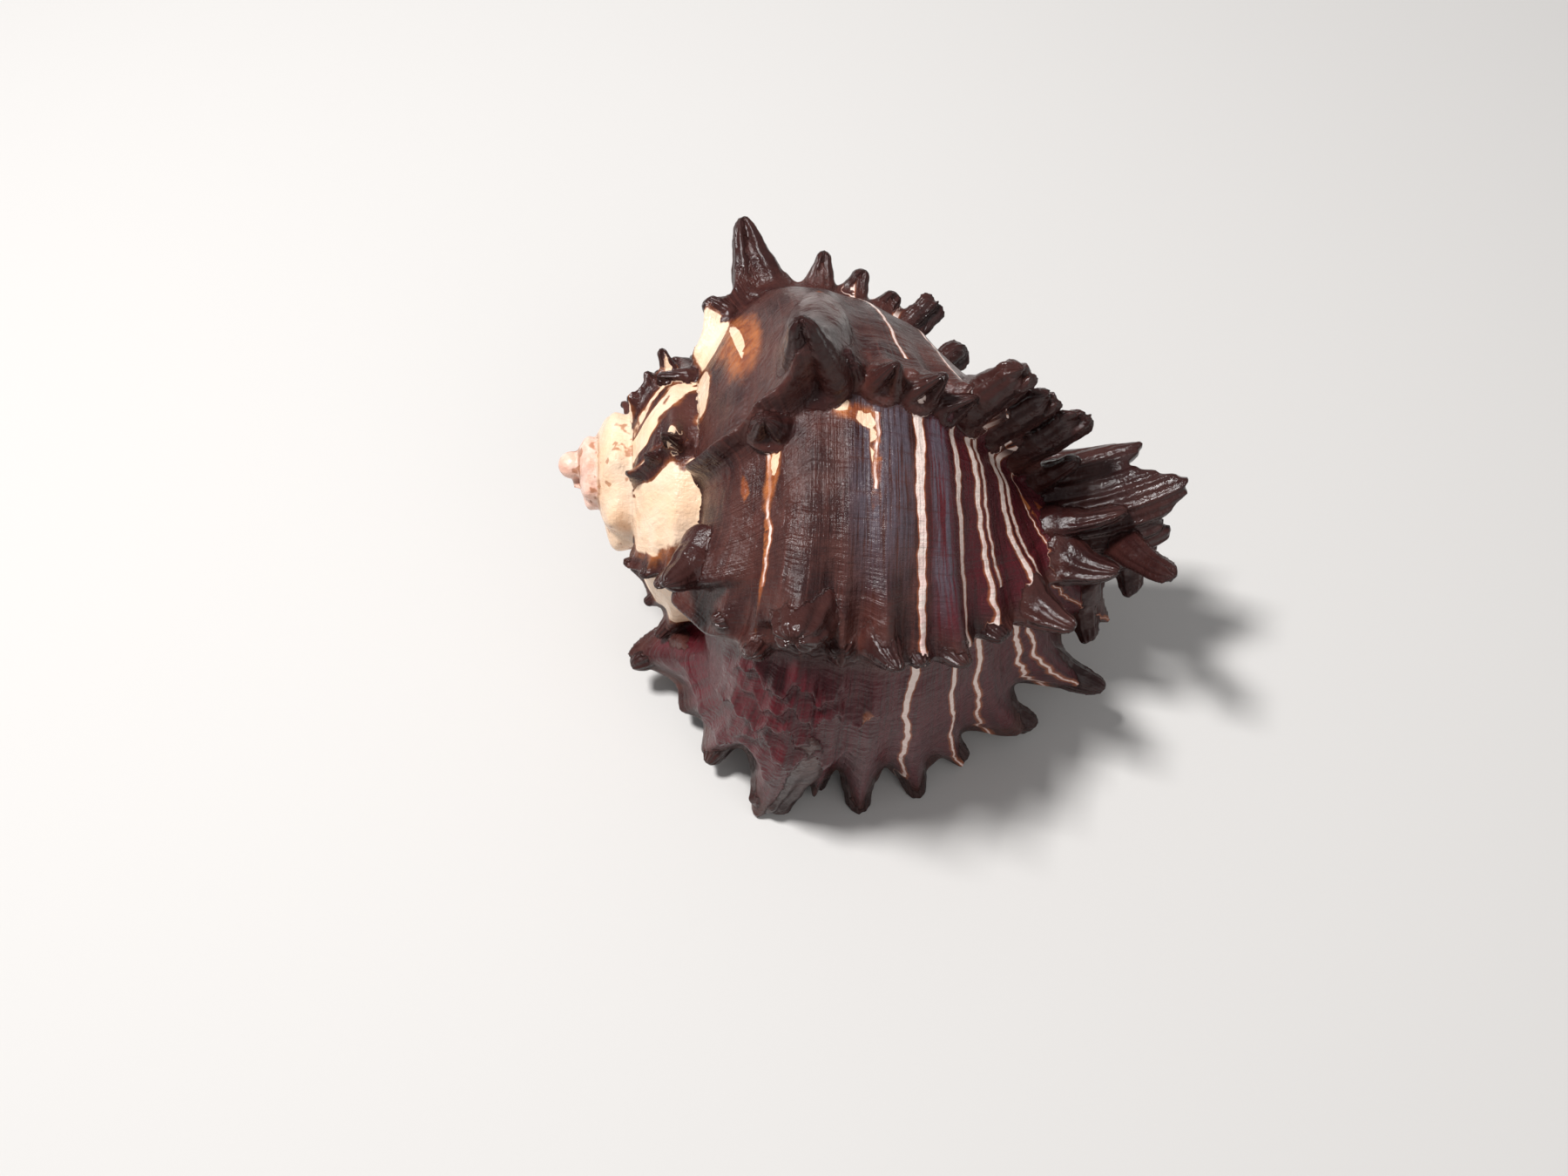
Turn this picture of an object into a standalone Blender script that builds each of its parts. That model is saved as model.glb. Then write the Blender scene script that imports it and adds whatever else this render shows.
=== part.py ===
"""Black murex shell lying mouth down: one coiled body with frilled ridges, folded spines,
a bent siphonal canal and the open mouth underneath. The coiling axis runs along +X, tip of
the spire at the low end, canal at the high end, +Z up, the ground at z = 0."""
from math import cos, radians, sin, tau

import bmesh
import bpy
import numpy as np

MM = 0.001

# ---- coiling law: every turn repeats the last one, smaller by WIDENING ----
WIDENING = 1.87  # growth of the whorl in one turn
FIRST_ANGLE = -1400.0  # growth angle (degrees) where the coil starts; 0 is the lip
LIP_ANGLE = 124.0  # where the lip stands round the axis, 0 straight up, 90 towards -Y
AXIS_TILT = 10.0  # the axis slopes down to the canal
CANAL_LIFT = 15.0  # the canal bends up at its end
CANAL_BEND_START = 80.0
TIP_OF_SPIRE = (-60.5, 5.4, 43.0)  # mm, tip of the spire above the ground

# ---- outline of the last whorl at the lip: (along the axis, from the axis) in mm ----
SUTURE_TO_CANAL = [
    (26, 25.5), (29.5, 31.5), (35, 38.5), (41, 44), (47.5, 48), (56, 50.3), (65, 50.6),
    (74, 48.6), (81, 45), (88, 38.5), (94, 31), (100, 23.5), (106, 17), (112, 12.5),
    (118, 9.5), (121, 6), (121.5, 2),
]
# the hollow inside it, from the notch at the suture round to the columella
MOUTH = [
    (33, 29), (38, 36), (45, 42), (55, 45), (65, 45.5), (74, 43.5), (81, 39), (87, 32.5),
    (93, 24.5), (98, 17), (104, 11.5), (112, 8), (118, 6.5), (118, 3.5), (108, 4),
    (98, 6.5), (86, 9), (72, 11), (58, 13), (46, 17), (37, 22),
]
MOUTH_DEPTH = 190.0  # degrees the hollow runs back into the whorl
CANAL_SLIT_DEPTH = 14.0  # degrees the canal's slit runs back

# ---- ridges left by each rest in growth ----
RIDGE_HEIGHT = 3.6
RIDGE_BACK = 16.0  # degrees over which a ridge rises
RIDGE_FRONT = 3.5  # degrees over which it drops
SWEEP = 34.0  # degrees a ridge runs forward on its way up to the suture
SIDE_PULL = 4.0  # the last half turn draws in on its canal side
CORD_PLACES = (38.0, 47.5, 60.0, 70.0, 80.0, 90.0, 99.0, 107.0)
CORD_HEIGHT = 0.5

# Spines on each ridge: place on the outline, length, lean to the canal (degrees), half width.
RIDGES = {
    0.0: [
        (29, 8, -20, 3.2), (35, 3, 0, 2.2), (40, 7, 0, 2.8), (52, 9, 0, 6.0),
        (59, 2.5, 0, 2.0), (68, 5.5, 0, 3.2), (77, 6.5, 0, 3.2), (84, 5.5, 0, 2.8),
        (92, 10, 0, 3.4), (101, 14, 0, 3.5), (108, 5, 10, 2.8), (116, 9, 30, 3.4),
    ],
    -58.0: [
        (31, 12, -50, 5.0), (37, 3, -20, 3.0), (44, 6, -5, 5.0), (50, 8.5, -10, 4.2),
        (59, 3, 0, 2.4), (70, 3.5, 0, 2.8), (80, 3, 5, 2.8), (88, 3, 5, 2.4),
        (97, 10, 5, 3.8), (106, 9, 10, 3.4), (118, 13, 5, 4.2),
    ],
    -121.0: [
        (29, 3, -30, 2.4), (37, 4, -10, 3.0), (45, 5, -12, 3.4), (52, 16, -8, 5.2),
        (59, 3, -5, 2.0), (66, 6.5, 0, 2.6), (73, 6.5, 0, 2.6), (80, 3.5, 5, 2.4),
        (87, 12, 0, 4.0), (94, 14, -5, 4.2), (103, 15, 0, 4.4), (116, 13, 10, 4.2),
    ],
    -178.0: [
        (30, 4, -30, 2.2), (42, 4, 0, 3.2), (48, 14, -6, 4.8), (61, 7, 0, 2.1),
        (70, 5, 0, 2.3), (77, 4, 0, 2.3), (84, 7.5, 0, 3.0), (93, 8, 0, 3.0),
        (102, 8, 5, 3.0), (112, 8, 15, 3.2),
    ],
    -234.0: [
        (30, 4, -30, 2.0), (39, 6, -15, 2.8), (48, 12, -10, 4.0), (61, 5, 0, 2.0),
        (70, 5, 0, 2.2), (79, 5, 0, 2.4), (88, 8, 0, 3.0), (98, 8, 5, 3.0),
    ],
    -290.0: [
        (30, 4, -30, 2.0), (39, 5, -15, 2.4), (48, 12, -10, 3.6), (61, 7, 0, 2.8),
        (70, 5, 0, 2.8), (79, 10, 0, 3.0), (88, 15, 0, 3.4), (98, 8, 5, 2.8),
    ],
}
# On the spire each ridge carries the same three knobs, smaller with the whorl.
SPIRE_RIDGES = (-348.0, -408.0, -466.0, -525.0, -585.0, -645.0)
SPIRE_KNOBS = [(31, 5, -30, 2.6), (39, 7, -15, 3.2), (46, 12, -10, 4.2)]
# The flared end of the canal: place, growth angle, length, lean, half width.
CANAL_FAN = [
    (116, -150, 11, 55, 3.6), (117, -125, 12, 60, 4.0), (117, -100, 12, 62, 4.0),
    (116, -75, 11, 58, 3.6),
]
GROOVE_DEPTH = 0.9  # part of a spine's front taken by its groove
GROOVE_WIDTH = 0.42

# ---- fineness of the solid ----
GROWTH_STEP = 4.0
OUTLINE_POINTS = 60
SPINE_RINGS = 14
SPINE_SIDES = 20
GRAIN = 1.15  # mm, smallest detail kept when the pieces grow together
THINNING = 0.108  # part of the triangles that is kept


def spline(points, count):
    """Smooth curve through the points, evenly spaced."""
    points = np.array(points, float)
    along = np.concatenate([[0], np.cumsum(np.hypot(*np.diff(points, axis=0).T))])
    at = np.linspace(0, along[-1], count)
    slope = np.gradient(points, along, axis=0)
    i = np.clip(np.searchsorted(along, at, side="right") - 1, 0, len(along) - 2)
    span = (along[i + 1] - along[i])[:, None]
    s = (at - along[i])[:, None] / span
    start = (2 * s**3 - 3 * s**2 + 1) * points[i] + (s**3 - 2 * s**2 + s) * span * slope[i]
    end = (3 * s**2 - 2 * s**3) * points[i + 1] + (s**3 - s**2) * span * slope[i + 1]
    return start + end


def ease(x):
    x = np.clip(x, 0, 1)
    return x * x * (3 - 2 * x)


def size(growth):
    return WIDENING ** (growth / 360)


def sweep(along):
    return SWEEP * np.clip((47 - along) / 21, 0, 1) ** 1.3


def pull(along, growth):
    """The last half turn draws towards the spire on its canal side."""
    where = ease((along - 48) / 20) * (1 - ease((along - 104) / 16))
    return -SIDE_PULL * ease((growth + 160) / 160) * where


def place(along, out, growth):
    """From distance along and out from the axis, and growth angle, to world mm."""
    tilt = radians(AXIS_TILT)
    axis = np.array([cos(tilt), 0, -sin(tilt)])
    above = np.array([sin(tilt), 0, cos(tilt)])
    turn = np.radians(LIP_ANGLE + growth)[..., None]
    ring = np.cos(turn) * above - np.sin(turn) * np.array([0, 1, 0])
    point = np.asarray(along)[..., None] * axis + np.asarray(out)[..., None] * ring
    bend = np.clip((np.asarray(along) - CANAL_BEND_START) / 40, 0, 1.5) ** 2 * CANAL_LIFT
    return point + bend[..., None] * np.array([0, 0.25, 1]) + np.array(TIP_OF_SPIRE)


OUTLINE = spline(SUTURE_TO_CANAL, 400)
RUN = np.gradient(OUTLINE, axis=0)
RUN /= np.linalg.norm(RUN, axis=1, keepdims=True)
FACING = np.stack([-RUN[:, 1], RUN[:, 0]], axis=1)


def ridge(growth):
    """Height of the ridges, 0 to 1, at this stage of growth."""
    height = np.zeros_like(growth)
    for crest in (*RIDGES, *SPIRE_RIDGES):
        past = growth - crest
        rise = np.exp(-(np.abs(past / RIDGE_BACK) ** 1.25))
        drop = np.exp(-((past / RIDGE_FRONT) ** 2))
        height += np.where(past <= 0, rise, drop)
    return height


def cords(along):
    return sum(np.exp(-(((along - c) / 2.4) ** 2)) for c in CORD_PLACES)


def outer_ring(growth, picks):
    """Outline of the whorl at one stage of growth, closed along the axis."""
    along, out = OUTLINE[picks].T
    stage = growth + sweep(along)
    scale = size(stage)
    lift = RIDGE_HEIGHT * ridge(np.full(len(picks), growth)) * (0.55 + 0.6 * cords(along))
    lift = (lift + CORD_HEIGHT * cords(along)) * scale**0.8 * ease((along - 26) / 3)
    x = along * scale + FACING[picks, 0] * lift + pull(along, stage)
    r = out * scale + FACING[picks, 1] * lift
    ring = place(x, r, stage)
    back = np.linspace(OUTLINE[-1, 0], OUTLINE[0, 0], OUTLINE_POINTS // 3 + 2)[1:-1]
    stage_back = growth + sweep(back)
    scale_back = size(stage_back)
    core = place(back * scale_back, np.full(len(back), -0.8) * scale_back, stage_back)
    return np.concatenate([ring, core])


def mouth_ring(growth, count):
    """Outline of the hollow; its canal slit closes a little way in, its end is rounded."""
    curve = spline(MOUTH + MOUTH[:1], count + 1)[:-1]
    depth = -growth
    slit = np.exp(-((depth / CANAL_SLIT_DEPTH) ** 2))
    beyond = np.clip(curve[:, 0] - 97, 0, None)
    curve[:, 0] -= beyond * (1 - slit)
    curve[:, 1] += beyond * (1 - slit) * 0.35
    middle = np.array([64, 26])
    close = np.sqrt(np.clip(1 - (depth / MOUTH_DEPTH) ** 4, 0.02, 1))
    curve = middle + (curve - middle) * close * (1 - 0.12 * ease(depth / 60))
    along, out = curve.T
    stage = growth + sweep(along)
    scale = size(stage)
    return place(along * scale + pull(along, stage), out * scale, stage)


def new_mesh(name, rings):
    """Closed mesh lofted through rings of equal point counts."""
    mesh = bmesh.new()
    rows = [[mesh.verts.new(point * MM) for point in ring] for ring in rings]
    for near, far in zip(rows, rows[1:]):
        for i in range(len(near)):
            j = (i + 1) % len(near)
            mesh.faces.new((near[i], near[j], far[j], far[i]))
    mesh.faces.new(rows[0][::-1])
    mesh.faces.new(rows[-1])
    bmesh.ops.triangulate(mesh, faces=[f for f in mesh.faces if len(f.verts) > 4])
    bmesh.ops.recalc_face_normals(mesh, faces=mesh.faces)
    data = bpy.data.meshes.new(name)
    mesh.to_mesh(data)
    mesh.free()
    return data


def whorls():
    """All the whorls to the lip, then back inside along the hollow."""
    picks = np.linspace(0, len(OUTLINE) - 1, OUTLINE_POINTS).astype(int)
    rings = [outer_ring(g, picks) for g in np.arange(FIRST_ANGLE, 0.1, GROWTH_STEP)]
    count = len(rings[0])
    depths = np.arange(0, MOUTH_DEPTH, GROWTH_STEP)
    rings += [mouth_ring(-depth, count) for depth in depths]
    return new_mesh("whorls", rings)


def spine(crest, spot, length, lean, half_width, growth=None):
    """One folded spine: a tapering trough, open on the side the shell grows towards."""
    i = int(np.argmin(np.abs(OUTLINE[:, 0] - spot)))
    stage = crest + sweep(spot) if growth is None else growth
    scale = size(stage)
    root = OUTLINE[i] * scale + FACING[i] * RIDGE_HEIGHT * 0.5 * scale**0.8
    root = root + np.array([pull(spot, stage), 0])
    lean = radians(lean)
    up = cos(lean) * FACING[i] + sin(lean) * RUN[i]
    side = cos(lean) * RUN[i] - sin(lean) * FACING[i]
    length = length + RIDGE_HEIGHT * 0.5 * scale**0.8
    around = np.linspace(0, tau, SPINE_SIDES, endpoint=False)
    rings = []
    for part in np.linspace(-0.35, 1, SPINE_RINGS):
        risen = max(part, 0)
        width = half_width * (1.25 + 0.7 * min(part, 0)) * (1 - risen) ** 0.75 * 0.9
        width += half_width * 0.3 * max(1 - risen**6, 0.04) ** 0.5
        front = 0.75 * width
        back = width * (0.9 + 1.5 * (1 - risen) ** 2)
        ahead = np.where(np.cos(around) > 0, front, back) * np.cos(around)
        groove = np.exp(-((np.sin(around) / GROOVE_WIDTH) ** 2)) * (np.cos(around) > 0)
        ahead -= GROOVE_DEPTH * front * groove * ease(risen / 0.15)
        ahead -= 0.1 * length * risen**2
        point = root + up * part * length + side * (width * np.sin(around))[:, None]
        angle = stage + np.degrees(ahead / np.maximum(point[:, 1], 4))
        rings.append(place(point[:, 0], point[:, 1], angle))
    return new_mesh("spine", rings)


def all_spines():
    for crest, spines in RIDGES.items():
        for spot, length, lean, half_width in spines:
            yield spine(crest, spot, length, lean, half_width)
    for crest in SPIRE_RIDGES:
        scale = size(crest)
        for spot, length, lean, half_width in SPIRE_KNOBS:
            yield spine(crest, spot, length * scale, lean, half_width * scale)
    for spot, growth, length, lean, half_width in CANAL_FAN:
        yield spine(0, spot, length, lean, half_width, growth)


def first_whorl():
    """The rounded knob the shell started from."""
    mesh = bmesh.new()
    bmesh.ops.create_icosphere(mesh, subdivisions=3, radius=2.2 * MM)
    bmesh.ops.translate(mesh, vec=place(2.2, 0, 0) * MM, verts=mesh.verts)
    data = bpy.data.meshes.new("knob")
    mesh.to_mesh(data)
    mesh.free()
    return data


def joined(name, pieces):
    mesh = bmesh.new()
    for piece in pieces:
        mesh.from_mesh(piece)
        bpy.data.meshes.remove(piece)
    data = bpy.data.meshes.new(name)
    mesh.to_mesh(data)
    mesh.free()
    return data


def material(name, colour, roughness, metallic):
    made = bpy.data.materials.new(name)
    made.use_nodes = True
    shader = made.node_tree.nodes["Principled BSDF"]
    shader.inputs["Base Color"].default_value = (*colour, 1)
    shader.inputs["Roughness"].default_value = roughness
    shader.inputs["Metallic"].default_value = metallic
    return made


def collection(name):
    made = bpy.data.collections.new(name)
    bpy.context.scene.collection.children.link(made)
    return made


for old in list(bpy.data.objects):
    bpy.data.objects.remove(old, do_unlink=True)

shell_parts = collection("murex shell")
cutters = collection("cutters")
cutters.hide_render = True

body = joined("murex_shell", [whorls(), first_whorl(), *all_spines()])
shell = bpy.data.objects.new("murex_shell", body)
shell.data.materials.append(material("shell_dark", (0.045, 0.022, 0.02), 0.4, 0.0))
shell_parts.objects.link(shell)

grown = shell.modifiers.new("grown together", "REMESH")
grown.mode = "VOXEL"
grown.voxel_size = GRAIN * MM
grown.adaptivity = 0

# the tips it rests on are worn flat
ground = bpy.data.meshes.new("ground")
mesh = bmesh.new()
bmesh.ops.create_cube(mesh, size=1)
bmesh.ops.scale(mesh, vec=(0.2, 0.2, 0.02), verts=mesh.verts)
bmesh.ops.translate(mesh, vec=(0, 0, -0.01), verts=mesh.verts)
mesh.to_mesh(ground)
mesh.free()
wear = bpy.data.objects.new("ground", ground)
wear.display_type = "WIRE"
cutters.objects.link(wear)

fewer = shell.modifiers.new("fewer faces", "DECIMATE")
fewer.ratio = THINNING

worn = shell.modifiers.new("worn tips", "BOOLEAN")
worn.operation = "DIFFERENCE"
worn.solver = "EXACT"
worn.object = wear
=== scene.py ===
"""A dark murex shell lying mouth down: the grown shell, its ridges, folded spines and worn
spire, on a plain pale floor under soft studio light."""
from math import cos, radians, sin, tau

import bmesh
import bpy
import numpy as np
from mathutils import Matrix, Vector
from mathutils.bvhtree import BVHTree


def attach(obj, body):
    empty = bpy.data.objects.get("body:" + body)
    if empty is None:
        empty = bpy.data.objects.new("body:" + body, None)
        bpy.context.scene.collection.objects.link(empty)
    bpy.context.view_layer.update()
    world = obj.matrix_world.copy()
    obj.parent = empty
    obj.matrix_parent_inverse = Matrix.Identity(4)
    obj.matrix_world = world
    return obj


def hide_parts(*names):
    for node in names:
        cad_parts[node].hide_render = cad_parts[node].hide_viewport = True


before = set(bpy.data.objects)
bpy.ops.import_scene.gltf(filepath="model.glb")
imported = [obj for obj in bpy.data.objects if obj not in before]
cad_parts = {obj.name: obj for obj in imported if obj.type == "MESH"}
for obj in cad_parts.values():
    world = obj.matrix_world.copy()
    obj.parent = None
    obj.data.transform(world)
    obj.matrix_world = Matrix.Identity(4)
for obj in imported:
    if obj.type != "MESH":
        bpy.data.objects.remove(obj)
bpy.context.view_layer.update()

# The coil. A murex grows by adding shell to its lip, so every turn repeats the last one, a
# fixed share larger, and all its whorls lie on one spiral round a straight axis that slopes
# a little down to the canal. Places are (along the axis, out from it, growth angle).
WIDENING = 1.87
LIP_ANGLE = 124.0
AXIS_TILT = radians(10.0)
CANAL_BEND_START = 80.0
CANAL_BEND = np.array([0.0, 8.0, 13.0])
TIP_OF_SPIRE = np.array([-60.5, 5.4, 43.0])
AXIS = np.array([cos(AXIS_TILT), 0, -sin(AXIS_TILT)])
ABOVE = np.array([sin(AXIS_TILT), 0, cos(AXIS_TILT)])
AWAY = np.array([0.0, 1.0, 0.0])


def ease(x):
    x = np.clip(x, 0, 1)
    return x * x * (3 - 2 * x)


def size(growth):
    return WIDENING ** (growth / 360)


def place(along, out, growth):
    """Points in millimetres, given along the axis, out from it and round the coil."""
    turn = np.radians(LIP_ANGLE + np.asarray(growth))[..., None]
    ring = np.cos(turn) * ABOVE - np.sin(turn) * AWAY
    point = np.asarray(along)[..., None] * AXIS + np.asarray(out)[..., None] * ring
    bend = np.clip((np.asarray(along) - CANAL_BEND_START) / 40, 0, 1.5) ** 2
    return point + bend[..., None] * CANAL_BEND + TIP_OF_SPIRE


def spline(points, count):
    """A smooth curve through the points, as evenly spaced places along it."""
    points = np.array(points, float)
    run = np.concatenate([[0], np.cumsum(np.hypot(*np.diff(points, axis=0).T))])
    at = np.linspace(0, run[-1], count)
    slope = np.gradient(points, run, axis=0)
    i = np.clip(np.searchsorted(run, at, side="right") - 1, 0, len(run) - 2)
    span = (run[i + 1] - run[i])[:, None]
    s = (at - run[i])[:, None] / span
    start = (2 * s**3 - 3 * s**2 + 1) * points[i] + (s**3 - 2 * s**2 + s) * span * slope[i]
    end = (3 * s**2 - 2 * s**3) * points[i + 1] + (s**3 - s**2) * span * slope[i + 1]
    return start + end


# The ridges. Each time growth stopped, the lip thickened into a ridge with a row of folded
# spines from the suture to the canal: six on the last whorl, and the same on the spire.
# Spines are (outline place, length, lean to the canal, half width, tip width, degrees ahead).
RIDGES = {
    0.0: [
        (33, 11, 10, 4.6, 0.4, 0), (37.5, 4, 10, 2.8, 0.5, 0), (41.5, 9, 8, 3.8, 0.45, -2),
        (50.5, 10, 5, 6.9, 0.55, 0), (59, 4, 6, 2.8, 0.5, 3), (67.5, 8, -3, 3.8, 0.5, 0),
        (76.5, 7, 0, 3.8, 0.45, 0), (83, 4.5, 10, 3.0, 0.5, 0), (90, 10.5, 6, 4.4, 0.45, 4),
        (97.5, 17.5, 0, 4.2, 0.4, 0), (106, 9, -20, 3.6, 0.5, 0), (113, 7, -10, 3.2, 0.6, 0),
    ],
    -58.0: [
        (35, 9.5, 24, 5.0, 0.35, -18), (39.5, 2.5, -15, 3.0, 0.5, -4), (44.5, 6, 15, 3.4, 0.5, 0),
        (51, 9, 4, 6.0, 0.6, -7), (59, 2, 0, 3.0, 0.5, -2), (67, 7, 12, 4.0, 0.3, -3),
        (74, 2, 0, 2.8, 0.5, 0), (80, 4.5, -3, 4.0, 0.35, 0), (88, 3, 0, 2.8, 0.6, 0),
        (95.5, 12, -10, 5.2, 0.3, 0), (105.5, 11, 6, 5.0, 0.35, 0), (115.5, 19, -3, 3.1, 0.6, 2),
    ],
    -121.0: [
        (44, 3.5, 15, 4.4, 0.35, 3), (52.5, 14.5, -2, 6.8, 0.3, 0),
        (59.5, 3, 0, 3.4, 0.4, 2), (66.5, 5.5, 3, 4.0, 0.25, 3), (74, 6, 6, 4.0, 0.25, 3),
        (80.5, 4.5, 6, 3.2, 0.3, 4), (86, 13, -14, 5.6, 0.72, 0), (93.5, 12.5, -12, 4.9, 0.85, -2),
        (101.5, 14, -8, 4.9, 1.1, -2), (109, 7, 8, 3.6, 0.7, 2),
    ],
    -178.0: [
        (30, 4, -30, 2.2, 0.5, 0), (38, 3, 0, 3.0, 0.5, 0), (48, 13, 0, 5.8, 0.3, -2),
        (61.5, 5.5, 3, 3.2, 0.35, 0), (70, 4, 0, 3.0, 0.45, 0), (77.5, 3, 6, 2.6, 0.6, 0),
        (84, 7, -3, 3.4, 0.85, 0), (92.5, 7, -9, 3.4, 0.85, -2), (102, 8, 5, 3.4, 0.9, 0),
        (112, 8, 15, 3.4, 0.8, 0),
    ],
    -234.0: [
        (33, 4, -25, 2.4, 0.5, 0), (39, 6, -15, 3.0, 0.5, 0), (48, 12, -10, 4.8, 0.35, 0),
        (61, 5, 0, 3.0, 0.4, 0), (70, 5, 0, 3.0, 0.4, 0), (79, 5, 0, 3.0, 0.5, 0),
        (88, 8, 0, 3.6, 0.8, 0), (98, 8, 5, 3.4, 0.8, 0),
    ],
    -290.0: [
        (33, 4, -25, 2.4, 0.5, 0), (39, 5, -15, 2.8, 0.5, 0), (48, 12, -10, 4.4, 0.4, 0),
        (61, 7, 0, 3.0, 0.5, 0), (70, 5, 0, 3.0, 0.5, 0), (79, 10, 0, 3.2, 0.5, 0),
        (88, 15, 0, 3.6, 0.5, 0), (98, 8, 5, 3.0, 0.6, 0),
    ],
}
LONG_FOLDS = {0.0: 0.55, -58.0: 0.26}
SPIRE_RIDGES = (-348.0, -408.0, -466.0, -525.0, -585.0, -645.0)
SPIRE_SPINES = [(35, 3.5, -20, 2.6, 0.6, 0), (41, 4, -10, 3.0, 0.6, 0), (48, 9, -8, 4.2, 0.5, 0)]
for spire_crest in SPIRE_RIDGES:
    knob = size(spire_crest)
    RIDGES[spire_crest] = [
        (spot, length * knob, lean, half * knob, tip, ahead)
        for spot, length, lean, half, tip, ahead in SPIRE_SPINES
    ]

# The whorls. The wall of the shell, from the suture over the shoulder to the canal, rising
# in low folds to each spine and falling away steeply after each ridge, with spiral cords and
# growth lines. At the lip it turns inside, round the hollow where the snail lived.
SUTURE_TO_CANAL = [
    (30.5, 26.2), (33, 32.5), (37, 39.3), (42, 44.4), (47.5, 48), (56, 50.3), (65, 50.6),
    (74, 48.6), (81, 45), (88, 38.5), (94, 31), (100, 23.5), (106, 17), (112, 12.5),
    (118, 9.5), (121, 6), (121.5, 2),
]
MOUTH = [
    (34, 29), (39, 36), (45, 42), (55, 45), (65, 45.5), (74, 43.5), (81, 39), (87, 32.5),
    (93, 24.5), (98, 17), (103, 12), (107, 9), (110, 6), (110, 3.5), (104, 4),
    (98, 6.5), (86, 9), (72, 11), (58, 13), (46, 17), (38, 22),
]
FIRST_ANGLE = -1440.0
LAST_WHORLS = -720.0
MOUTH_DEPTH = 190.0
MOUTH_TURN = 13
CANAL_SLIT_DEPTH = 14.0
CANAL_CUT = 111.0
RIDGE_HEIGHT = 3.6
RIDGE_BACK = 16.0
RIDGE_FRONT = 2.6
FRILL = 1.6
THIN_END = 110.0
SMALL_FRILLS = ((-47, 50, 11), (-40, 56, 14), (-33, 46, 10), (-25, 54, 12), (-17, 42, 9))
SMALL_FRILL_HEIGHT = 2.3
BEAD_HEIGHT = 6.5
GROWTH_LINE_HEIGHT = 0.10
SWEEP = 34.0
SIDE_PULL = 4.0
CLIMB = np.array([-6.0, -1.6])
CORD_PLACES = (38.0, 47.5, 60.0, 70.0, 80.0, 90.0, 99.0, 107.0)
CORD_HEIGHT = 0.4
OUTLINE_POINTS = 260
GROWTH_STEP = 1.2
OUTLINE = spline(SUTURE_TO_CANAL, 1200)
RUN = np.gradient(OUTLINE, axis=0)
RUN /= np.linalg.norm(RUN, axis=1, keepdims=True)
FACING = np.stack([-RUN[:, 1], RUN[:, 0]], axis=1)


def sweep(along, growth):
    """Degrees a ridge runs forward where it climbs the ramp to the suture."""
    reach = SWEEP - 10 * np.exp(-(((growth + 58) / 35) ** 2))
    wider = np.exp(-(((growth + 121) / 30) ** 2))
    start = 47 + 8 * wider
    return reach * np.clip((start - along) / (start - 26), 0, 1) ** (1.3 - 0.3 * wider)


def pull(along, growth):
    where = ease((along - 48) / 20) * (1 - ease((along - 104) / 16))
    return -SIDE_PULL * ease((growth + 160) / 160) * where


def rise(past, back, front):
    """A slow rise up to a ridge and a steep fall after it."""
    before = np.exp(-(np.abs(past / back) ** 1.25))
    return np.where(past <= 0, before, np.exp(-((past / front) ** 2)))


def climb(along, growth):
    """How far the ramp has run up the whorl before, at its later ridges."""
    share = sum(
        amount * rise(growth - crest, 20.0, 4.0)
        for crest, amount in ((-121.0, 0.3), (-58.0, 0.9), (0.0, 0.8))
    )
    share = share - 0.55 * np.exp(-(((growth + 31) / 13) ** 2))
    return (share * np.clip((46 - along) / 15, 0, 1) ** 2)[..., None] * CLIMB


def cords(along):
    return sum(np.exp(-(((along - c) / 2.4) ** 2)) for c in CORD_PLACES)


def crest_of(growth):
    return sum(rise(growth - crest, 13.0, 3.0) for crest in RIDGES)


def folds(along, growth):
    """Height of the ridge and of the folds that rise to its spines, in millimetres."""
    height = 0.25 * CORD_HEIGHT * np.sin(growth * 0.21 + along * 0.11)
    for crest, spines in RIDGES.items():
        past = growth - crest
        if past < -75 or past > 15:
            continue
        scale = size(crest) ** 0.8
        height = height + scale * RIDGE_HEIGHT * rise(past, RIDGE_BACK, RIDGE_FRONT) * (
            0.42 + 0.25 * cords(along)
        )
        ruffle = 0.55 + 0.45 * np.sin(along * 1.45 + crest + 1.3 * np.sin(along * 0.61))
        overhang = 2.2 if crest == -121 else 1.1
        ruffle = np.maximum(ruffle, overhang * ease((48 - along) / 3))
        height = height + scale * FRILL * ruffle * np.exp(-(((past + 0.6) / 1.7) ** 2))
        for spot, length, _, half, _, ahead in spines:
            if spot > THIN_END:
                continue
            up = 0.36 * rise(past - ahead, 10, 2.4)
            long_fold = LONG_FOLDS.get(crest, 0.12) + 0.2 * ease((half - 5.4) / 0.8)
            up = up + long_fold * rise(past - ahead, 32, 2.4)
            narrow = 0.55 + 0.30 * ease(-past / 30)
            near = np.exp(-(np.abs((along - spot) / (narrow * half / size(crest))) ** 1.7))
            height = height + near * up * (length + 2)
    return height * (1 - ease((along - THIN_END) / 5))


def scales(along, growth):
    """Small ruffled frills laid one over another between the last two ridges."""
    height = 0
    for crest, middle, reach in SMALL_FRILLS:
        bent = growth - crest + 2.2 * np.sin(along * 0.7 + crest) + 1.2 * np.sin(along * 1.9)
        height = height + rise(bent, 4.5, 0.9) * np.exp(-(((along - middle) / reach) ** 4))
    return SMALL_FRILL_HEIGHT * height


def beads(along, growth):
    """Small rounded knobs round the shoulder of the first whorls."""
    early = 1 - ease((growth + 690) / 40)
    wave = 0.5 + 0.5 * np.cos(np.radians(growth * 7.0))
    return early * wave * BEAD_HEIGHT * np.exp(-(((along - 45) / 7) ** 2))


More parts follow.
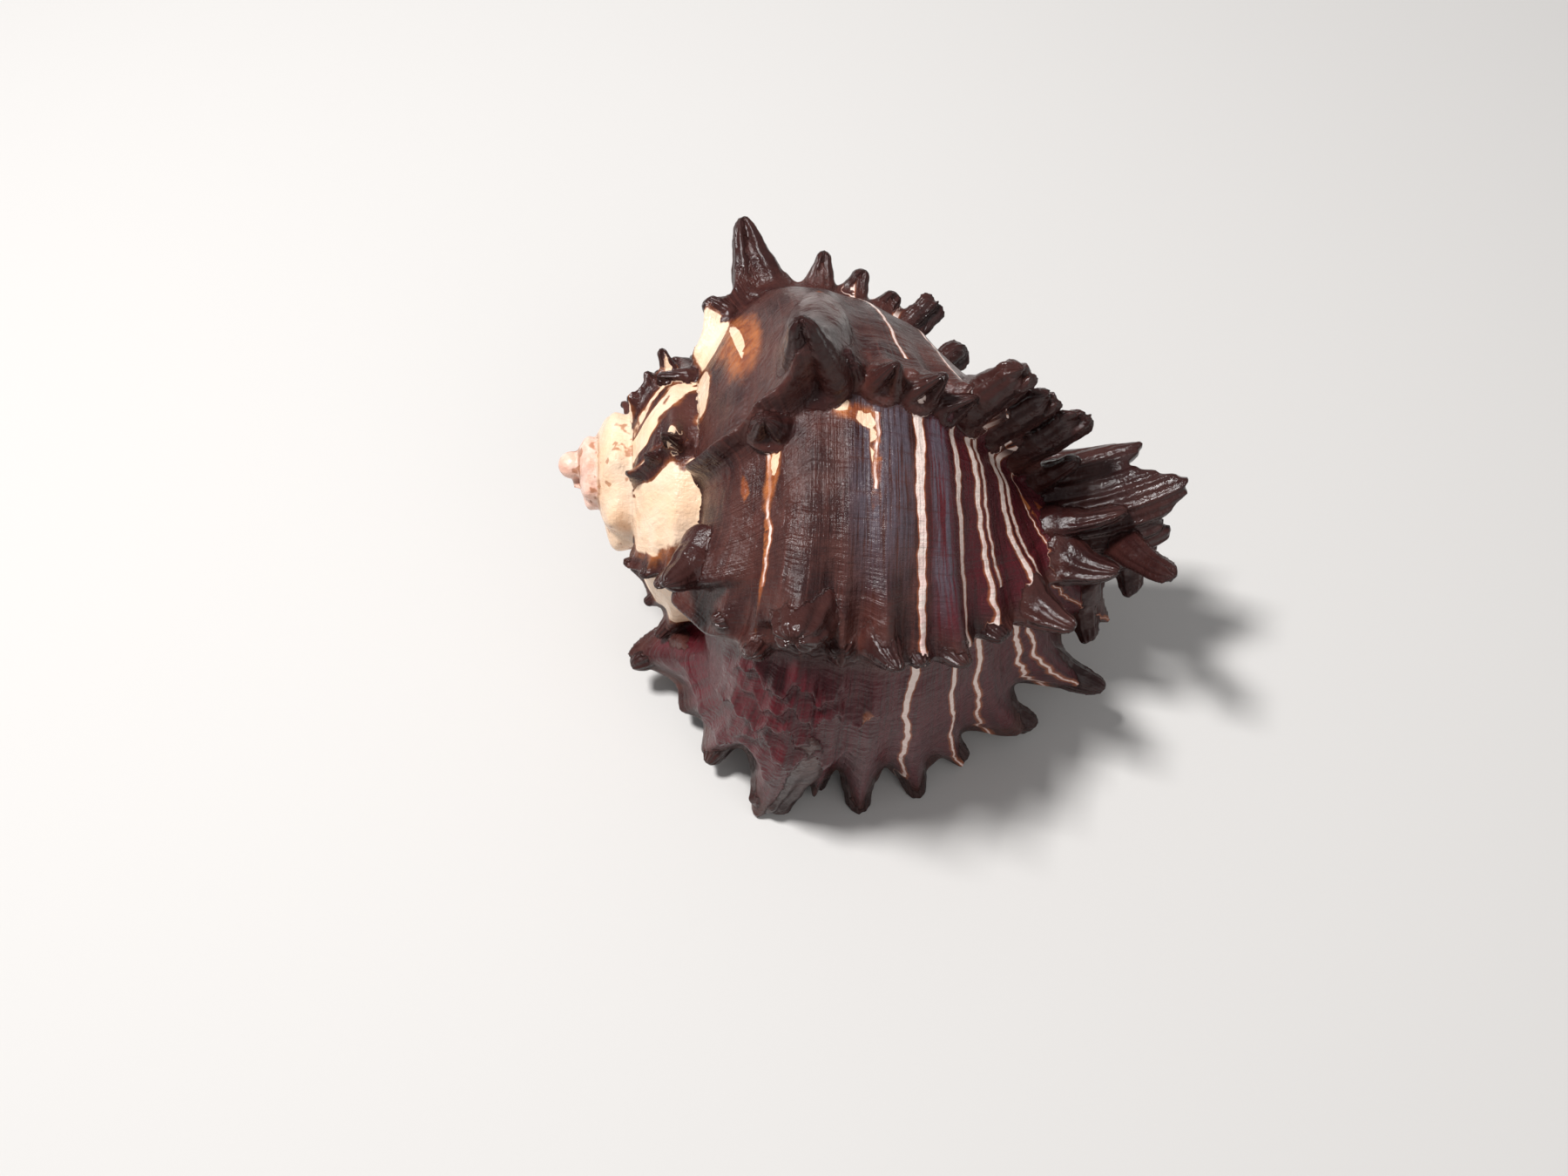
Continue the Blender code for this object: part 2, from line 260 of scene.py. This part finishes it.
def growth_lines(growth, along):
    """Uneven fine ribs, each where the lip once stood."""
    wave = np.sin(growth * 1.1 + np.sin(growth * 0.23) * 2.5 + along * 0.05)
    wave += 0.8 * np.sin(growth * 0.53 + np.sin(along * 0.31) * 0.8)
    return GROWTH_LINE_HEIGHT * wave * (0.5 + 0.5 * np.sin(growth * 0.17 + along * 0.09))


def loft(rings):
    """Vertices and faces of a closed tube through rings of equal point counts."""
    rings = np.asarray(rings)
    count, sides = rings.shape[:2]
    i = np.arange(count - 1)[:, None] * sides
    j = np.arange(sides)[None, :]
    k = (j + 1) % sides
    quads = np.stack([i + j, i + k, i + sides + k, i + sides + j], -1).reshape(-1, 4)
    caps = [list(range(sides))[::-1], [(count - 1) * sides + n for n in range(sides)]]
    return rings.reshape(-1, 3), quads, caps


source_points, source_facts, source_quads, source_caps = [], [], [], []


def keep(rings, facts):
    """Adds a lofted piece to the shell; facts are (outline place, stage, spine, inside, around)."""
    points, quads, caps = loft(rings)
    base = sum(len(p) for p in source_points)
    source_points.append(points)
    source_facts.append(np.asarray(facts, float).reshape(-1, 5))
    source_quads.append(quads + base)
    source_caps.extend([[n + base for n in cap] for cap in caps])


picks = np.linspace(0, len(OUTLINE) - 1, OUTLINE_POINTS).astype(int)
back_line = np.linspace(OUTLINE[-1, 0], OUTLINE[0, 0], OUTLINE_POINTS // 4)[1:-1]
ring_size = len(picks) + len(back_line)
rings, facts = [], []
early = np.arange(FIRST_ANGLE, LAST_WHORLS, 2 * GROWTH_STEP)
for growth in np.concatenate([early, np.arange(LAST_WHORLS, 0.01, GROWTH_STEP)]):
    along, out = OUTLINE[picks].T
    cut_back = 0.7 * ease((growth + 60) / 50)
    along = along - cut_back * np.clip(along - CANAL_CUT, 0, None)
    stage = growth + sweep(along, growth)
    scale = size(stage)
    lift = folds(along, growth) + CORD_HEIGHT * cords(along) * scale
    lift = lift + (beads(along, growth) + growth_lines(growth, along)) * scale
    lift = lift + scales(along, growth)
    lift = lift * ease((along - 30.5) / 2.5)
    shift = climb(along, np.full(len(along), growth))
    ring = place(
        (along + shift[:, 0]) * scale + FACING[picks, 0] * lift + pull(along, stage),
        (out + shift[:, 1]) * scale + FACING[picks, 1] * lift,
        stage,
    )
    back_along = back_line - cut_back * np.clip(back_line - CANAL_CUT, 0, None)
    back_stage = growth + sweep(back_line, growth)
    back_scale = size(back_stage)
    core = place(back_along * back_scale, -0.8 * back_scale, back_stage)
    rings.append(np.concatenate([ring, core]))
    fact = np.zeros((ring_size, 5))
    fact[:, 0] = np.concatenate([along, back_line])
    fact[:, 1] = growth
    facts.append(fact)
for depth in np.arange(0, MOUTH_DEPTH, GROWTH_STEP):
    outer = spline(MOUTH[:MOUTH_TURN], len(picks))
    curve = np.concatenate([outer, spline(MOUTH[MOUTH_TURN:], len(back_line))])
    slit = np.exp(-((depth / CANAL_SLIT_DEPTH) ** 2))
    beyond = np.clip(curve[:, 0] - 97, 0, None)
    curve[:, 0] -= beyond * (1 - slit)
    curve[:, 1] += beyond * (1 - slit) * 0.35
    middle = np.array([64, 26])
    close = np.sqrt(np.clip(1 - (depth / MOUTH_DEPTH) ** 4, 0.02, 1))
    curve = middle + (curve - middle) * close * (1 - 0.12 * ease(depth / 60))
    along, out = curve.T
    stage = -depth + sweep(along, -depth)
    scale = size(stage)
    rings.append(place(along * scale + pull(along, stage), out * scale, stage))
    fact = np.zeros((ring_size, 5))
    fact[:, 0] = along
    fact[:, 1] = -depth
    fact[:, 3] = 1
    facts.append(fact)
keep(rings, facts)

# The spines. Each is a fold of the lip, so it is a trough that is open towards the lip,
# ribbed along its back and cut off ragged where it stopped, and it runs down into its ridge.
GROOVE_TURN = 1.0
SPINE_RINGS = 36
SPINE_SIDES = 56
GROOVE_DEPTH = 0.95
GROOVE_WIDTH = 0.42


def spine_root(spot, stage, growth):
    i = int(np.argmin(np.abs(OUTLINE[:, 0] - spot)))
    scale = size(stage)
    root = (OUTLINE[i] + climb(np.float64(spot), np.float64(growth))) * scale
    root = root + FACING[i] * RIDGE_HEIGHT * 0.5 * scale**0.8
    return root + np.array([pull(spot, stage), 0]), RUN[i], FACING[i], scale


def grow_spine(crest, spot, length, lean, half_width, tip_width, ahead_by, growth=None):
    stage = crest + sweep(spot, crest) + ahead_by if growth is None else growth
    root, run, facing, scale = spine_root(spot, stage, crest)
    lean = radians(lean)
    up = cos(lean) * facing + sin(lean) * run
    side = cos(lean) * run - sin(lean) * facing
    length = length + RIDGE_HEIGHT * 0.5 * scale**0.8
    around = np.linspace(0, tau, SPINE_SIDES, endpoint=False)
    unlike = spot * 1.7 + crest * 0.13
    flat = 0.8 - 0.42 * ease((tip_width - 0.5) / 0.6)
    ribs = np.cos(9 * around + unlike) * (np.cos(around) < 0.3) * (0.3 + tip_width)
    facing_lip = around - GROOVE_TURN * ease((spot - 80) / 6)
    groove = np.exp(-((np.sin(facing_lip) / GROOVE_WIDTH) ** 2)) * (np.cos(facing_lip) > 0)
    ragged = np.cos(5 * around + unlike) + 0.6 * np.cos(9 * around + 2 * unlike)
    bulk = (1.7 if crest == 0 else 0.7) + 1.8 * ease((half_width - 6.2) / 0.5)
    rings, facts = [], []
    for part in np.linspace(-0.35, 1, SPINE_RINGS):
        risen = max(part, 0)
        width = half_width * (tip_width + (1.02 - tip_width) * (1 - risen) ** 1.1)
        width *= (1 - 0.8 * max((risen - 0.86) / 0.14, 0) ** 2) ** 0.5
        width *= 1 + 0.7 * min(part, 0)
        width *= 1 + 0.03 * sin(unlike + 17 * part) + 0.012 * sin(unlike * 2 + 41 * part)
        wide = width * (1 + 0.15 * risen * ribs)
        front = flat * wide
        back = wide * (flat + bulk * (1 - risen) ** 1.6)
        left = 1 - GROOVE_DEPTH * groove * ease(risen / 0.15)
        ahead = np.where(np.cos(around) > 0, front, back) * np.cos(around) * left
        ahead = ahead - 0.1 * length * risen**2
        sway = 0.05 * length * sin(unlike) * risen**2
        reach = length * part * (1 + 0.07 * tip_width * risen**3 * ragged)
        point = root + up * reach[:, None] + side * (sway + wide * left * np.sin(around))[:, None]
        angle = stage + np.degrees(ahead / np.maximum(point[:, 1], 4))
        rings.append(place(point[:, 0], point[:, 1], angle))
        fact = np.zeros((SPINE_SIDES, 5))
        fact[:, 0] = spot
        fact[:, 1] = crest
        fact[:, 2] = 0.3 + 0.7 * risen
        fact[:, 4] = around
        facts.append(fact)
    keep(rings, facts)


for crest, spines in RIDGES.items():
    for spine_facts in spines:
        grow_spine(crest, *spine_facts)

# The fan at the end of the canal. The last spines of every ridge are joined there in one
# ribbed collar with a pointed edge, a thin flare of the lip with one open tube before it.
# Its edge is given as (growth angle, height), the tube as (place, angle, length, lean, half).
COLLAR = [
    (-156, 3), (-142, 15), (-130, 19), (-117, 14), (-104, 17), (-90, 20.5), (-78, 19), (-64, 13),
    (-46, 14), (-38, 9.5), (-26, 9.5), (-8, 4),
]
COLLAR_PLACE = 112.0
COLLAR_LEAN = radians(40)
CANAL_TUBE = (107.0, -82, 11, 34, 3.4)

spot, growth, length, lean, half_width = CANAL_TUBE
grow_spine(-121.0, spot, length, lean, half_width, 0.85, 0, growth)
rings, facts = [], []
part = np.concatenate([np.linspace(-0.5, 1, 16), np.linspace(1, -0.5, 16)])
face = np.repeat([1.0, -1.0], 16)
for growth in np.arange(COLLAR[0][0], COLLAR[-1][0], 1.5):
    root, run, facing, scale = spine_root(COLLAR_PLACE, growth, growth)
    up = cos(COLLAR_LEAN) * facing + sin(COLLAR_LEAN) * run
    side = cos(COLLAR_LEAN) * run - sin(COLLAR_LEAN) * facing
    height = np.interp(growth, *zip(*COLLAR)) + 0.35 * sin(growth * 0.7)
    thick = (2.2 - 0.9 * np.clip(part, 0, 1)) * np.where(part >= 1, 0.8, 1)
    thick = thick * (1 + 0.15 * sin(growth * 0.5)) * face
    point = root + up * (height * part)[:, None] + side * (thick + 0.16 * height * part**2)[:, None]
    rings.append(place(point[:, 0], point[:, 1], np.full(len(part), growth)))
    facts.append(np.tile([COLLAR_PLACE, -121.0, 0.7, 0, radians(growth * 5)], (len(part), 1)))
keep(rings, facts)

# The body of the shell. Whorls, spines, fan and the knob of the first whorl are one growth
# of hard lime, so they are joined into one skin, and loose crumbs are dropped. The tips that
# it rests on are worn flat against the ground.
MM = 0.001
GRAIN = 0.42
TRIANGLES = 180000
KNOB = 2.6


def applied(thing):
    """A new mesh of the thing with its modifiers applied."""
    bpy.context.view_layer.update()
    seen = thing.evaluated_get(bpy.context.evaluated_depsgraph_get())
    return bpy.data.meshes.new_from_object(seen)


knob_mesh = bmesh.new()
bmesh.ops.create_icosphere(knob_mesh, subdivisions=4, radius=KNOB)
knob_points = np.array([v.co for v in knob_mesh.verts]) + place(KNOB, 0, 0)
base = sum(len(p) for p in source_points)
knob_faces = np.array([[v.index + base for v in face.verts] for face in knob_mesh.faces])
source_points.append(knob_points)
source_facts.append(np.tile([45.0, FIRST_ANGLE, 0, 0, 0], (len(knob_points), 1)))
knob_mesh.free()

points = np.concatenate(source_points)
facts = np.concatenate(source_facts)
quads = np.concatenate(source_quads)
raw = bpy.data.meshes.new("raw_shell")
raw.from_pydata((points * MM).tolist(), [], quads.tolist() + knob_faces.tolist() + source_caps)
raw.update()
shell = bpy.data.objects.new("shell", raw)
bpy.context.scene.collection.objects.link(shell)
grown = shell.modifiers.new("grown together", "REMESH")
grown.mode = "VOXEL"
grown.voxel_size = GRAIN * MM
dense = applied(shell)
shell.modifiers.clear()
shell.data = dense
fewer = shell.modifiers.new("fewer faces", "DECIMATE")
fewer.ratio = min(1.0, TRIANGLES / (2 * len(dense.polygons)))
mesh = applied(shell)
mesh.name = "shell"
shell.modifiers.clear()
shell.data = mesh
worn = bmesh.new()
worn.from_mesh(mesh)
everything = worn.verts[:] + worn.edges[:] + worn.faces[:]
bmesh.ops.bisect_plane(
    worn, geom=everything, plane_co=(0, 0, 0), plane_no=(0, 0, -1), clear_outer=True
)
bmesh.ops.holes_fill(worn, edges=[edge for edge in worn.edges if edge.is_boundary], sides=0)
bmesh.ops.triangulate(worn, faces=[face for face in worn.faces if len(face.verts) > 3])
reached, largest = set(), []
for start in worn.verts:
    if start in reached:
        continue
    reached.add(start)
    group = [start]
    for vert in group:
        for edge in vert.link_edges:
            other = edge.other_vert(vert)
            if other not in reached:
                reached.add(other)
                group.append(other)
    largest = max(largest, group, key=len)
whole_shell = set(largest)
crumbs = [vert for vert in worn.verts if vert not in whole_shell]
bmesh.ops.delete(worn, geom=crumbs, context="VERTS")
worn.to_mesh(mesh)
worn.free()
count = len(mesh.vertices)
coords = np.empty(count * 3, np.float32)
mesh.vertices.foreach_get("co", coords)
coords = coords.reshape(-1, 3)
mesh.shade_smooth()
mesh.update()

# Each point of the skin learns where on the outline and when in growth it was laid down.
thirds = np.concatenate([quads[:, [0, 1, 2]], quads[:, [0, 2, 3]], knob_faces])
surface = BVHTree.FromPolygons(points.tolist(), thirds.tolist(), all_triangles=True)
hits = [surface.find_nearest(co) for co in (coords / MM).tolist()]
where_hit = np.array([hit[0] for hit in hits])
corner = thirds[np.array([hit[2] for hit in hits])]
a, b, c = (points[corner[:, n]] for n in range(3))
whole = np.linalg.norm(np.cross(b - a, c - a), axis=1) + 1e-12
share_a = np.linalg.norm(np.cross(b - where_hit, c - where_hit), axis=1) / whole
share_b = np.linalg.norm(np.cross(c - where_hit, a - where_hit), axis=1) / whole
share_c = np.clip(1 - share_a - share_b, 0, 1)
found = sum(
    facts[corner[:, n]] * share[:, None] for n, share in enumerate((share_a, share_b, share_c))
)
spot_at, stage_at, spine_at, inside_at, around_at = found.T


def attribute(name, values):
    made = mesh.attributes.new(name, "FLOAT", "POINT")
    made.data.foreach_set("value", np.asarray(values, np.float32))


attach(shell, "root")
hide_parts("murex_shell")

# The colour of the shell is laid down by the lip as it grows. The spire is cream with a dark
# flame on each ridge; the last whorl is brown-black with cream and orange patches on its
# ramp: (outline place, growth angle, half width, half length, slant).
CREAM = [
    (35.0, -174, 3.2, 6, 0), (38.8, -156, 0.8, 12, 0.08), (57.0, -112.5, 3.6, 1.6, 0),
    (63.0, -109.5, 2.2, 1.8, 0.2), (64.6, -105, 0.8, 7, 0), (44.6, -108, 0.9, 5, -0.06),
    (48.0, -471, 2.4, 7, 0), (31.5, -158, 1.5, 12, 0),
]
ORANGE = [
    (39.0, -154, 4.2, 16, 0.1), (44.0, -103, 1.5, 11, -0.05), (43.9, -86, 0.5, 20, 0.04),
    (39.5, -106, 0.6, 7, 0.1), (65.0, -101, 1.3, 11, 0), (57.6, -156, 1.0, 2.5, 0),
    (66.8, -41, 1.0, 2.5, 0), (60.0, -111.5, 5.5, 2.6, 0), (103, -98, 0.7, 9, 0.15),
    (107, -92, 0.8, 9, 0.15),
]


def patches(table):
    field = np.full(count, -3.0)
    for spot_c, growth_c, half, long, slant in table:
        off = (spot_at - spot_c - slant * (stage_at - growth_c)) / half
        field = np.maximum(field, 1 - np.hypot(off, (stage_at - growth_c) / long))
    return field


spire_at = ease((-336 - stage_at) / 10)
flame = sum(rise(stage_at - crest, 15.0, 8.0) for crest in SPIRE_RIDGES)
first = ease((-720 - stage_at) / 80)
marbled = ease((-446 - stage_at) / 10) * (1 - first)
cream_at = patches(CREAM)
cream_at = np.maximum(cream_at, np.where(spire_at > 0, (0.50 - flame + 1.2 * first) * spire_at, -3))
orange_at = np.maximum(patches(ORANGE), cream_at + 0.12)
crests = np.array(sorted(RIDGES) + [60.0])
next_one = np.clip(np.searchsorted(crests, stage_at), 1, len(crests) - 1)
since_at = (stage_at - crests[next_one - 1]) / (crests[next_one] - crests[next_one - 1])
attribute("spot", spot_at)
attribute("stage", stage_at)
attribute("spine", spine_at)
attribute("inside", inside_at)
attribute("around", around_at)
attribute("crest", crest_of(stage_at))
attribute("since", since_at)
attribute("cream", cream_at)
attribute("orange", orange_at)
attribute("first", ease((-860 - stage_at) / 160))
attribute("marbled", marbled)

# White lines run round the last whorl, each drawn by one cell of the lip as it grew:
# (outline place, half width, first and last growth angle, slant).
STRIPES = [
    (74.6, 0.88, -121, 0, 0.004), (83.0, 0.64, -121, 0, 0), (87.7, 0.52, -121, 0, 0),
    (89.5, 0.36, -121, -70, 0), (95.0, 0.60, -121, 0, 0), (97.0, 0.46, -121, 0, 0),
    (104.0, 0.14, -121, 0, 0.04), (70.0, 0.42, -178, -127, 0.06), (80.5, 0.44, -178, -125, 0.02),
    (86.3, 0.44, -178, -125, 0), (89.8, 0.36, -178, -125, 0), (74.6, 0.6, -345, -178, 0),
    (83.2, 0.5, -345, -178, 0), (88.3, 0.4, -345, -178, 0), (96.2, 0.5, -345, -178, 0),
    (43.9, 0.28, -118, -72, 0.03), (65.2, 0.3, -112, -94, 0),
]
SPINE_RIBS = 11
BROWN_BLACK = (0.028, 0.0070, 0.0070)
BROWN = (0.084, 0.027, 0.021)
STREAK_BROWN = (0.110, 0.034, 0.027)
SPINE_BROWN = (0.032, 0.0125, 0.0115)
MAROON = (0.098, 0.0065, 0.0130)
DEEP_MAROON = (0.052, 0.0045, 0.0080)
# Painted sheen colour: a blue-grey that stands in for the gloss reflecting the pale surround.
SHEEN_BLUE_GREY = (0.105, 0.086, 0.108)
LINE_EDGE = (0.36, 0.10, 0.035)
WHITE_LINE = (0.95, 0.78, 0.70)
ROSY_LINE = (0.88, 0.60, 0.55)
TAN = (0.50, 0.155, 0.042)
BURNT_TAN = (0.24, 0.052, 0.014)
WARM_CREAM = (0.93, 0.62, 0.40)
PALE_CREAM = (0.93, 0.70, 0.52)
FIRST_PINK = (0.96, 0.66, 0.54)
FIRST_ROSE = (0.88, 0.50, 0.38)
SUTURE_BROWN = (0.34, 0.13, 0.06)
SPECK_BROWN = (0.42, 0.15, 0.06)
INSIDE_WHITE = (0.80, 0.74, 0.70)
coat = bpy.data.materials.new("murex")
coat.use_nodes = True
tree = coat.node_tree
shader = tree.nodes["Principled BSDF"]


def node(kind, **settings):
    made = tree.nodes.new(kind)
    for key, value in settings.items():
        setattr(made, key, value)
    return made


def link(source, target):
    tree.links.new(source, target)


def value_of(name):
    return node("ShaderNodeAttribute", attribute_name=name).outputs["Fac"]


def maths(operation, *inputs, clamp=False):
    made = node("ShaderNodeMath", operation=operation, use_clamp=clamp)
    for socket, item in zip(made.inputs, inputs):
        if isinstance(item, (int, float)):
            socket.default_value = item
        else:
            link(item, socket)
    return made.outputs[0]


def band(item, low, high):
    """0 below low, 1 above high, smooth between."""
    made = node("ShaderNodeMapRange", interpolation_type="SMOOTHSTEP")
    link(item, made.inputs["Value"])
    made.inputs["From Min"].default_value = low
    made.inputs["From Max"].default_value = high
    return made.outputs["Result"]


def mix(factor, first, second):
    made = node("ShaderNodeMix", data_type="RGBA")
    if isinstance(factor, (int, float)):
        made.inputs["Factor"].default_value = factor
    else:
        link(factor, made.inputs["Factor"])
    for socket, item in ((made.inputs["A"], first), (made.inputs["B"], second)):
        if isinstance(item, tuple):
            socket.default_value = (*item, 1)
        else:
            link(item, socket)
    return made.outputs["Result"]


def noise(scale, detail=4.0, roughness=0.55, vector=None, distortion=0.0):
    made = node("ShaderNodeTexNoise")
    made.inputs["Scale"].default_value = scale
    made.inputs["Detail"].default_value = detail
    made.inputs["Roughness"].default_value = roughness
    made.inputs["Distortion"].default_value = distortion
    link(vector or where, made.inputs["Vector"])
    return made.outputs["Fac"]


def grown_at(across, along):
    """A texture place that follows growth: across the stripes and along them."""
    made = node("ShaderNodeCombineXYZ")
    link(maths("MULTIPLY", spot, across), made.inputs["X"])
    link(maths("MULTIPLY", stage, along), made.inputs["Y"])
    return made.outputs["Vector"]


def both(*items):
    result = items[0]
    for item in items[1:]:
        result = maths("MULTIPLY", result, item)
    return result


def without(item):
    return maths("SUBTRACT", 1, item)


where = node("ShaderNodeTexCoord").outputs["Object"]
spot, stage = value_of("spot"), value_of("stage")
spine, inside, crest = value_of("spine"), value_of("inside"), value_of("crest")
since = value_of("since")
wander = maths("MULTIPLY", maths("SUBTRACT", noise(1, 2, vector=grown_at(0.05, 0.09)), 0.5), 2.6)
quiver = maths("MULTIPLY", maths("SUBTRACT", noise(1, 2, vector=grown_at(0.2, 0.4)), 0.5), 0.45)
wavy_spot = maths("ADD", spot, maths("ADD", wander, quiver))
taper = maths("SUBTRACT", 1.45, maths("MULTIPLY", maths("POWER", since, 0.6), 0.85))
taper = maths("SUBTRACT", taper, maths("MULTIPLY", band(stage, -62, -54), 0.45))

edge = None
for centre, half, begin, end, slant in STRIPES:
    line = maths("SUBTRACT", wavy_spot, centre)
    if slant:
        from_middle = maths("SUBTRACT", stage, (begin + end) / 2)
        line = maths("SUBTRACT", line, maths("MULTIPLY", from_middle, slant))
    off = maths("SUBTRACT", maths("ABSOLUTE", line), maths("MULTIPLY", taper, half))
    away = maths("MULTIPLY", maths("LESS_THAN", stage, begin), 9)
    away = maths("ADD", away, maths("MULTIPLY", maths("GREATER_THAN", stage, end), 9))
    off = maths("ADD", off, away)
    edge = off if edge is None else maths("MINIMUM", edge, off)
smooth_wall = both(
    band(since, 0.01, 0.05), band(stage, -345, -340), without(band(spine, 0.12, 0.3)),
    without(band(inside, 0.3, 0.5)),
)
white_line = both(without(band(edge, -0.10, 0.06)), smooth_wall)
edge_line = both(without(band(edge, 0.02, 0.42)), smooth_wall)

streaks = noise(1, 4, 0.6, vector=grown_at(1.6, 0.05))
growth_marks = noise(1, 4, 0.6, vector=grown_at(0.06, 0.9))
dark = mix(band(noise(110, 5, 0.6), 0.32, 0.68), BROWN_BLACK, BROWN)
dark = mix(both(band(streaks, 0.45, 0.75), 0.6), dark, STREAK_BROWN)
maroon = maths("MAXIMUM", band(spot, 73, 80), band(stage, -57, -50))
maroon = both(maroon, smooth_wall, band(stage, -125, -118), without(band(crest, 0.5, 0.9)))
reds = mix(band(streaks, 0.4, 0.65), MAROON, DEEP_MAROON)
dark = mix(both(maroon, 0.85), dark, reds)
# Painted sheen: blue-grey streaks on the dark wall between the last ridges stand in for the glossy
# shell reflecting the pale surround. This is painted reflection, not the shell's own colour.
painted_sheen_begins = band(stage, -119, -112)
broad_painted_sheen = both(
    band(spot, 57, 63), without(band(spot, 71.5, 73.5)), painted_sheen_begins,
    without(band(stage, -92, -66)),
)
narrow_painted_sheen = both(
    band(spot, 76, 77.5), without(band(spot, 79.5, 81.5)), painted_sheen_begins,
    without(band(stage, -80, -60)),
)
painted_sheen = maths("MAXIMUM", broad_painted_sheen, narrow_painted_sheen)
painted_sheen = both(painted_sheen, smooth_wall, band(streaks, 0.38, 0.56), band(growth_marks, 0.18, 0.50))
dark = mix(both(painted_sheen, 0.85), dark, SHEEN_BLUE_GREY)
dark = mix(both(band(spine, 0.3, 0.7), 0.6), dark, SPINE_BROWN)
colour = mix(both(edge_line, 0.85), dark, LINE_EDGE)
line_colour = mix(both(since, band(growth_marks, 0.4, 0.6)), WHITE_LINE, ROSY_LINE)
colour = mix(white_line, colour, line_colour)

smudge = maths("SUBTRACT", noise(190, 4, 0.55, distortion=0.6), 0.5)
off_spine = maths("MULTIPLY", band(spine, 0.16, 0.34), 1.4)
swirl = maths("SUBTRACT", noise(1, 1, 0.4, vector=grown_at(0.045, 0.035), distortion=1.1), 0.5)
swirl = both(swirl, value_of("marbled"), 3.6)
cream = maths("ADD", value_of("cream"), maths("MULTIPLY", smudge, 0.6))
cream = maths("SUBTRACT", maths("ADD", cream, swirl), off_spine)
orange = maths("ADD", value_of("orange"), maths("MULTIPLY", smudge, 1.1))
orange = maths("SUBTRACT", maths("ADD", orange, swirl), off_spine)
tan = mix(band(noise(330, 4, 0.6), 0.35, 0.65), TAN, BURNT_TAN)
colour = mix(both(band(orange, -0.18, 0.40), 0.85), colour, tan)
pale = mix(band(noise(150, 3), 0.3, 0.7), WARM_CREAM, PALE_CREAM)
pinks = mix(band(noise(420, 3), 0.35, 0.65), FIRST_PINK, FIRST_ROSE)
pale = mix(value_of("first"), pale, pinks)
suture_stain = both(without(band(spot, 31, 33.5)), without(band(stage, -640, -600)), 0.7)
pale = mix(suture_stain, pale, SUTURE_BROWN)
specks = both(band(noise(330, 2), 0.60, 0.66), without(band(stage, -560, -520)), 0.75)
pale = mix(specks, pale, SPECK_BROWN)
colour = mix(band(cream, 0.0, 0.09), colour, pale)
colour = mix(band(inside, 0.4, 0.6), colour, INSIDE_WHITE)
link(colour, shader.inputs["Base Color"])

rough = maths("ADD", 0.04, maths("MULTIPLY", noise(170, 5, 0.65), 0.44))
glossy = maths("MAXIMUM", band(crest, 0.3, 0.9), band(stage, -57, -45))
rough = maths("SUBTRACT", rough, both(glossy, 0.08), clamp=True)
link(rough, shader.inputs["Roughness"])
shader.inputs["Specular IOR Level"].default_value = 0.38

later = maths("ADD", 0.25, maths("MULTIPLY", band(stage, -380, -330), 0.75))
height = maths("ADD", maths("MULTIPLY", streaks, 0.6), maths("MULTIPLY", growth_marks, 0.75))
height = both(height, later)
height = maths("ADD", height, maths("MULTIPLY", noise(230, 3, 0.5), 1.6))
height = maths("ADD", height, maths("MULTIPLY", noise(480, 5, 0.65), 0.9))
around = maths("MULTIPLY", value_of("around"), SPINE_RIBS)
ribbed = maths("SINE", maths("ADD", around, maths("MULTIPLY", noise(120, 2), 3)))
height = maths("ADD", height, both(ribbed, band(spine, 0.3, 0.6), 0.24))
bump = node("ShaderNodeBump")
bump.inputs["Strength"].default_value = 0.7
bump.inputs["Distance"].default_value = 0.0006
link(height, bump.inputs["Height"])
link(bump.outputs["Normal"], shader.inputs["Normal"])
shell.data.materials.clear()
shell.data.materials.append(coat)

# The floor and the light. A plain pale surface, a soft lamp above and to the left, a
# weaker one from the front, and an even pale surround.
FLOOR_COLOUR = (0.66, 0.64, 0.62, 1)
floor_mesh = bmesh.new()
bmesh.ops.create_grid(floor_mesh, x_segments=1, y_segments=1, size=3.0)
floor_data = bpy.data.meshes.new("floor")
floor_mesh.to_mesh(floor_data)
floor_mesh.free()
floor = bpy.data.objects.new("floor", floor_data)
floor.location = (0, 0, -0.0002)
bpy.context.scene.collection.objects.link(floor)
plain = bpy.data.materials.new("plain floor")
plain.use_nodes = True
plain.node_tree.nodes["Principled BSDF"].inputs["Base Color"].default_value = FLOOR_COLOUR
plain.node_tree.nodes["Principled BSDF"].inputs["Roughness"].default_value = 0.8
floor_data.materials.append(plain)

for name, spot_m, aim, power, side in (
    ("key", (-0.30, 0.06, 0.72), (0, 0, 0.03), 6.8, 0.13),
    ("fill", (0.45, -0.45, 0.55), (0, 0, 0.03), 0.8, 0.5),
):
    data = bpy.data.lights.new(name, "AREA")
    data.energy = power
    data.size = side
    lamp = bpy.data.objects.new(name, data)
    lamp.location = spot_m
    lamp.rotation_euler = (Vector(aim) - Vector(spot_m)).to_track_quat("-Z", "Y").to_euler()
    bpy.context.scene.collection.objects.link(lamp)
world = bpy.data.worlds.new("surround")
world.use_nodes = True
world.node_tree.nodes["Background"].inputs["Color"].default_value = (0.97, 0.98, 1.0, 1)
world.node_tree.nodes["Background"].inputs["Strength"].default_value = 0.26
bpy.context.scene.world = world
bpy.context.scene.view_settings.view_transform = "Standard"

# The camera. It looks down at about sixty degrees from thirty centimetres away, with the
# spire at the left and the canal at the right.
EYE = Vector((-0.0039, -0.1555, 0.2898))
AIM = Vector((-0.0174, -0.0131, 0.03))
ROLL = radians(-3.34)
camera_data = bpy.data.cameras.new("camera")
camera_data.lens = 36
camera_data.sensor_width = 36
camera = bpy.data.objects.new("camera", camera_data)
turned = (AIM - EYE).to_track_quat("-Z", "Y").to_matrix() @ Matrix.Rotation(ROLL, 3, "Z")
camera.matrix_world = Matrix.Translation(EYE) @ turned.to_4x4()
bpy.context.scene.collection.objects.link(camera)
bpy.context.scene.camera = camera
